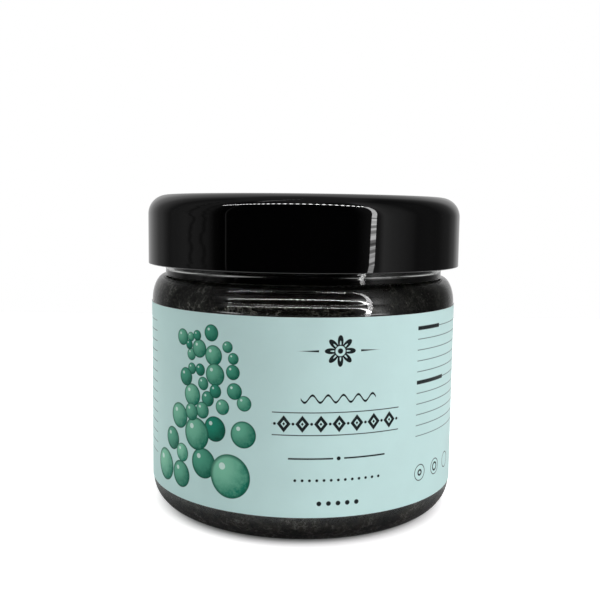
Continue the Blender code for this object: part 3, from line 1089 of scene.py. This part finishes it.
def wash_bubble(draw, color, pigment, across, up, radius, tone):
    """Lays one bubble over the colours so far: a thin wash, a dark rim and a glint."""
    nodes = draw.nodes
    distance = draw.distance(across, up)
    disc_mask = draw.inside(distance, radius)
    shade = draw.distance(across - 0.4 * radius, up + 0.4 * radius).above(0.2 * radius, 1.7 * radius)
    light = between(PALE_GREEN, LEAF_GREEN, tone)
    dark = between(LEAF_GREEN, DEEP_GREEN, 0.2 + 0.8 * tone)
    wash = nodes.mix(shade * pigment, light, dark)
    rim = distance.above(0.80 * radius, 0.98 * radius)
    wash = nodes.mix(0.75 * rim, wash, DEEP_GREEN)
    glint = draw.inside(draw.distance(across - 0.38 * radius, up + 0.42 * radius), 0.16 * radius)
    wash = nodes.mix(0.7 * glint, wash, GLINT)
    return nodes.mix(disc_mask, color, wash)


print(len(bubble_places()), "bubbles rise on the label")

# %% Printed paper
MINT = (0.528, 0.733, 0.717)
INK = (0.003, 0.006, 0.007)
FIBRE = (0.80, 0.90, 0.89)
PAPER_SPECULAR = 0.10


def printed_paper():
    material, nodes = new_finish("printed_mint_paper")
    draw = Print(nodes)
    place = nodes.place()
    fibre = nodes.noise(place, 0.4 * MM, detail=5, roughness=0.65)
    cloud = nodes.noise(place, 12 * MM, detail=3)
    pigment = 0.2 + 1.6 * nodes.noise(place, 1.2 * MM, detail=5, roughness=0.65)
    color = nodes.mix(cloud.above(0.3, 0.7), tuple(0.97 * c for c in MINT), tuple(1.02 * c for c in MINT))
    color = nodes.mix(0.10 * fibre, color, FIBRE)
    for bubble in bubble_places():
        color = wash_bubble(draw, color, pigment, *bubble)
    ink = divider(draw) + rosette(draw) + lozenge_border(draw) + wave_rule(draw)
    ink = ink + dotted_row(draw, LOWER_ROW_HEIGHT, 9.75, 1.5, 0.30)
    ink = ink + dotted_row(draw, FOOT_MARK_HEIGHT, 5.0, 2.0, 0.50)
    for place_of_heading in HEADINGS:
        ink = ink + heading(draw, *place_of_heading)
    ink = ink + LINE_INK * ruled_panel(draw, *RIGHT_PANEL)
    ink = ink + LINE_INK * ruled_panel(draw, *LEFT_PANEL)
    ink = ink + three_marks(draw, *MARKS)
    color = nodes.mix(ink.math("MINIMUM", ink, 1.0) * (0.95 + 0.08 * fibre), color, INK)
    sockets = {
        "Base Color": color,
        "Roughness": 0.40 + 0.12 * fibre,
        "Specular IOR Level": PAPER_SPECULAR,
        "Normal": nodes.bump(fibre, 0.012 * MM),
    }
    show(nodes, nodes.add("ShaderNodeBsdfPrincipled", {}, sockets))
    return material


def bare_paper(name, dark, light):
    material, nodes = new_finish(name)
    fibre = nodes.noise(nodes.place(), 0.3 * MM, detail=4)
    sockets = {
        "Base Color": nodes.mix(fibre, dark, light),
        "Roughness": 0.75 + 0.1 * fibre,
        "Normal": nodes.bump(fibre, 0.02 * MM),
    }
    show(nodes, nodes.add("ShaderNodeBsdfPrincipled", {}, sockets))
    return material


cut_edge = bare_paper("cut_paper_edge", (0.80, 0.82, 0.81), (0.90, 0.91, 0.90))
# The glued side is painted near black, a painted shade that keeps it from showing bright through the clear
# wall.
shaded_glue_face = bare_paper("paper_back_in_painted_shade", (0.05, 0.06, 0.06), (0.10, 0.11, 0.11))
place_piece(label, "wrap_label", "mint_paper", printed_paper(), cut_edge, shaded_glue_face)

# %% [markdown]
# ## The studio
# A polished lid shows the room, so the room is part of the picture. The jar stands on a pale floor in a
# small light tent: bright cloth behind it, darker cloth at the sides, and a dark opening in front where
# the camera is, with strips of light along its top and right edges. The tent and the strips only show in
# reflections and through clear plastic. The plain soft light on the jar comes from four large area lamps,
# so that the reflections can be set without changing how the colours are lit.

# %% White world
AMBIENT = 0.245


def seen_directly(nodes):
    """1 for what is seen straight, mirrored or through clear plastic, and 0 for light on the jar."""
    camera = nodes.add("ShaderNodeLightPath", out="Is Camera Ray")
    seen = camera + camera.other("Is Glossy Ray") + camera.other("Is Transmission Ray")
    return seen.math("MINIMUM", seen, 1.0)


world = bpy.data.worlds.new("white_studio")
scene.world = world
sky = Nodes(world)
strength = AMBIENT + (1.0 - AMBIENT) * seen_directly(sky)
backdrop = sky.add("ShaderNodeBackground", {}, {"Color": (1.0, 1.0, 1.0), "Strength": strength})
sky.add("ShaderNodeOutputWorld", {}, {"Surface": backdrop})
print("world lights the jar at", AMBIENT, "and is white to the eye")

# %% Floor
FLOOR_SIDE = 0.25
FLOOR_FRONT = -0.15
FLOOR_BACK = 0.35
FLOOR_DROP = 0.1 * MM
FLOOR_FILL = 0.68
FILL_START = 30 * MM
FILL_END = 37 * MM
MIRRORED_END = 130 * MM
# The painted contact shadow under the jar's edge fades out between these radii, seen straight and mirrored.
PAINTED_SHADOW_SEEN = (34 * MM, 29 * MM)
PAINTED_SHADOW_MIRRORED = (52 * MM, 30 * MM)
PAINTED_SHADOW_GREY = (0.10, 0.10, 0.10)


def pale_floor():
    material, nodes = new_finish("pale_floor")
    grain = nodes.noise(nodes.place(), 2 * MM, detail=4)
    off_axis = nodes.add("ShaderNodeVectorMath", {"operation": "LENGTH"}, {0: nodes.place()}, out="Value")
    color = nodes.mix(grain, (0.90, 0.90, 0.90), (0.92, 0.92, 0.92))
    camera = nodes.add("ShaderNodeLightPath", out="Is Camera Ray")
    mirror = seen_directly(nodes) - camera
    # A ring of floor under the jar's edge is painted dark grey, a painted contact shadow. Mirrored in the
    # jar, the painted ring reaches further out.
    painted_shadow = camera * off_axis.above(*PAINTED_SHADOW_SEEN) + mirror * off_axis.above(*PAINTED_SHADOW_MIRRORED)
    color = nodes.mix(painted_shadow, color, PAINTED_SHADOW_GREY)
    board = nodes.add("ShaderNodeBsdfDiffuse", {}, {"Color": color})
    # The white fill fades in from the jar's edge. Mirrored, it fades in slowly out to 130 mm, which paints
    # shade round the jar in its reflections.
    mirrored = mirror * off_axis.above(FILL_START, MIRRORED_END)
    level = FLOOR_FILL * (camera * off_axis.above(FILL_START, FILL_END) + mirrored)
    fill = nodes.add("ShaderNodeEmission", {}, {"Color": level})
    show(nodes, nodes.add("ShaderNodeAddShader", {}, {0: board, 1: fill}))
    return material


shape = bmesh.new()
front = [(-FLOOR_SIDE, FLOOR_FRONT), (FLOOR_SIDE, FLOOR_FRONT)]
back = [(FLOOR_SIDE, FLOOR_BACK), (-FLOOR_SIDE, FLOOR_BACK)]
shape.faces.new([shape.verts.new((x, y, TABLE - FLOOR_DROP)) for x, y in front + back])
floor = add_piece("floor", shape)
floor.data.materials.append(pale_floor())
print("floor", 2 * FLOOR_SIDE, "m across")

# %% Light tent
TENT_RADIUS = 700 * MM
CEILING = 0.20
CREASES = ((-72, 26, 30), (-85, -34, 47))
POLE = -54.2
POLE_GLOW = 50
TENT_STOPS = (
    (-155, 0.58), (-140, 0.47), (-126, 0.25), (-108, 0.09), (-88, 0.19), (-69, 0.16),
    (-63, 0.03), (-58, 0.004), (36, 0.004), (52, 0.18), (56, 0.53), (65, 0.33),
    (85, 0.09), (110, 0.06), (125, 0.11), (136, 0.22), (147, 0.58),
)


def grey(level):
    return (level, level, level)


def tent_cloth():
    material, nodes = new_finish("tent_cloth")
    place = nodes.place()
    x = nodes.add("ShaderNodeSeparateXYZ", {}, {"Vector": place}, out="X")
    turn = x.math("ARCTAN2", x, -x.other("Y")) / math.tau + 0.5
    stops = [(angle / 360 + 0.5, grey(level)) for angle, level in TENT_STOPS]
    cloth = nodes.add("ShaderNodeValToRGB", {"stops": stops}, {"Fac": turn})
    tall = nodes.add("ShaderNodeVectorMath", {"operation": "MULTIPLY"}, {0: place, 1: (1.0, 1.0, 0.4)})
    fold = nodes.noise(tall, 150 * MM, detail=1)
    low = x.other("Z").above(0.95 * TENT_RADIUS, 0.88 * TENT_RADIUS)
    color = nodes.mix(low, grey(CEILING), cloth)
    level = 0.75 + 0.5 * fold
    upright = nodes.add("ShaderNodeCombineXYZ", {}, {"Z": x.other("Z")})
    for angle, swing, size in CREASES:
        sway = nodes.noise(upright, size * MM, detail=4, roughness=0.6) - 0.5
        off = abs(turn - (angle / 360 + 0.5) - swing / 360 * sway)
        level = level * (0.55 + 0.45 * off.above(0.2 / 360, 3.0 / 360))
    pole = abs(turn - (POLE / 360 + 0.5)).above(0.6 / 360, 0.3 / 360)
    level = level * (1 + POLE_GLOW * pole)
    glow = nodes.add("ShaderNodeVectorMath", {"operation": "SCALE"}, {0: color, "Scale": level})
    show(nodes, nodes.add("ShaderNodeEmission", {}, {"Color": glow}))
    return material


def reflection_only(obj):
    """A stage piece that shows in gloss and clear plastic, and neither lights nor shades the jar."""
    obj.visible_camera = False
    obj.visible_diffuse = False
    obj.visible_shadow = False


shape = bmesh.new()
bmesh.ops.create_uvsphere(shape, u_segments=64, v_segments=32, radius=TENT_RADIUS)
tent = add_piece("light_tent", shape)
tent.data.materials.append(tent_cloth())
reflection_only(tent)
print("tent of radius", TENT_RADIUS, "m")

# %% Lamp strips round the opening
OPENING_FRONT = -150 * MM
TOP_STRIP = ((-344, 360), (-229, 335), (-134, 310), (-24, 288), (41, 277), (110, 266), (170, 262))
SIDE_STRIP = ((140, 20), (144, 46), (150, 66), (156, 112), (167, 190), (170, 262))
BEAD_PITCH = 16 * MM
RIB_SIZE = 1.9 * MM
BREAK_HEIGHT = 57 * MM
TOP_STRIP_WIDTH = 12 * MM
SIDE_STRIP_WIDTH = 20 * MM
TOP_GLOW = 6.0
BEAD_GLOW = 72.0


def strip(name, path, width, material):
    """A flat ribbon in the plane of the opening, along a path of (x, z) points in millimetres."""
    points = [Vector(point) * MM for point in path]
    shape = bmesh.new()
    rails = []
    for index, point in enumerate(points):
        along = (points[min(index + 1, len(points) - 1)] - points[max(index - 1, 0)]).normalized()
        side = Vector((-along.y, along.x)) * width / 2
        rails.append([shape.verts.new((x, OPENING_FRONT, z)) for x, z in (point - side, point + side)])
    for (low, high), (next_low, next_high) in zip(rails, rails[1:]):
        shape.faces.new((low, next_low, next_high, high))
    ribbon = add_piece(name, shape)
    ribbon.data.materials.append(material)
    reflection_only(ribbon)


def beaded_light():
    """Small lamps in a row along X."""
    material, nodes = new_finish("top_strip_light")
    along = nodes.add("ShaderNodeSeparateXYZ", {}, {"Vector": nodes.place()}, out="X")
    bead = along.math("PINGPONG", along, BEAD_PITCH / 2).above(0.34 * BEAD_PITCH, 0.16 * BEAD_PITCH)
    show(nodes, nodes.add("ShaderNodeEmission", {}, {"Color": TOP_GLOW + BEAD_GLOW * bead}))
    return material


def rippled_light():
    """A side lamp whose cover is ribbed unevenly, brighter towards its top."""
    material, nodes = new_finish("side_strip_light")
    high = nodes.add("ShaderNodeSeparateXYZ", {}, {"Vector": nodes.place()}, out="Z")
    rib_place = nodes.add("ShaderNodeCombineXYZ", {}, {"Z": high})
    rib = nodes.noise(rib_place, RIB_SIZE, detail=1).above(0.40, 0.58)
    lit = abs(high - BREAK_HEIGHT).above(0.4 * MM, 1.2 * MM)
    glow = (3.5 + 8.0 * rib) * (0.6 + 0.6 * high.above(40 * MM, 80 * MM)) * (0.2 + 0.8 * lit)
    show(nodes, nodes.add("ShaderNodeEmission", {}, {"Color": glow}))
    return material


strip("top_lamp_strip", TOP_STRIP, TOP_STRIP_WIDTH, beaded_light())
strip("side_lamp_strip", SIDE_STRIP, SIDE_STRIP_WIDTH, rippled_light())
print("lamp strips meet", TOP_STRIP[-1], "mm from the jar's axis and the floor")

# %% Soft lamps
LAMPS = (
    ("front_key", (0.22, -0.49, 0.34), 0.40, 1.2, (1.0, 0.985, 1.0)),
    ("right_key", (0.48, -0.25, 0.34), 0.40, 1.5, (1.0, 0.985, 1.0)),
    ("left_fill", (-0.50, 0.20, 0.34), 0.40, 1.9, (0.96, 1.0, 0.98)),
    ("top_soft", (0.05, 0.05, 0.55), 0.50, 0.3, (1.0, 1.0, 1.0)),
)
AIM = Vector((0.0, 0.0, 0.035))


def add_lamp(name, place, size, watts, color):
    lamp = bpy.data.lights.new(name, "AREA")
    lamp.shape = "DISK"
    lamp.size = size
    lamp.energy = watts
    lamp.color = color
    holder = bpy.data.objects.new(name, lamp)
    holder.location = place
    holder.rotation_euler = (AIM - Vector(place)).to_track_quat("-Z", "Y").to_euler()
    holder.visible_glossy = False
    holder.visible_transmission = False
    scene.collection.objects.link(holder)


for lamp in LAMPS:
    add_lamp(*lamp)
print(len(LAMPS), "soft lamps")

# %% [markdown]
# ## The camera
# The camera stands close to the jar, at the height of the lid's edge, and looks slightly down. That is why
# the lid hides its own top and the label's lower edge bows. Its distance and lens were found by matching
# the jar's known edges, and it needs no shift.

# %% Camera
CAMERA_DISTANCE = 197.7 * MM
CAMERA_HEIGHT = 68.7 * MM
CAMERA_TILT = 0.1046
CAMERA_YAW = -0.0036
CAMERA_ROLL = 0.0118
CAMERA_LENS = 48.78

camera = bpy.data.objects.new("camera", bpy.data.cameras.new("camera"))
camera.data.lens = CAMERA_LENS
camera.data.sensor_width = 36.0
camera.data.clip_start = 0.01
turn = Matrix.Rotation(-CAMERA_YAW, 4, "Z") @ Matrix.Rotation(math.pi / 2 - CAMERA_TILT, 4, "X")
stand = Matrix.Translation((0.0, -CAMERA_DISTANCE, CAMERA_HEIGHT))
camera.matrix_world = stand @ turn @ Matrix.Rotation(CAMERA_ROLL, 4, "Z")
scene.collection.objects.link(camera)
scene.camera = camera
scene.view_settings.view_transform = "Standard"
print("camera", round(CAMERA_DISTANCE / MM), "mm from the jar's axis")
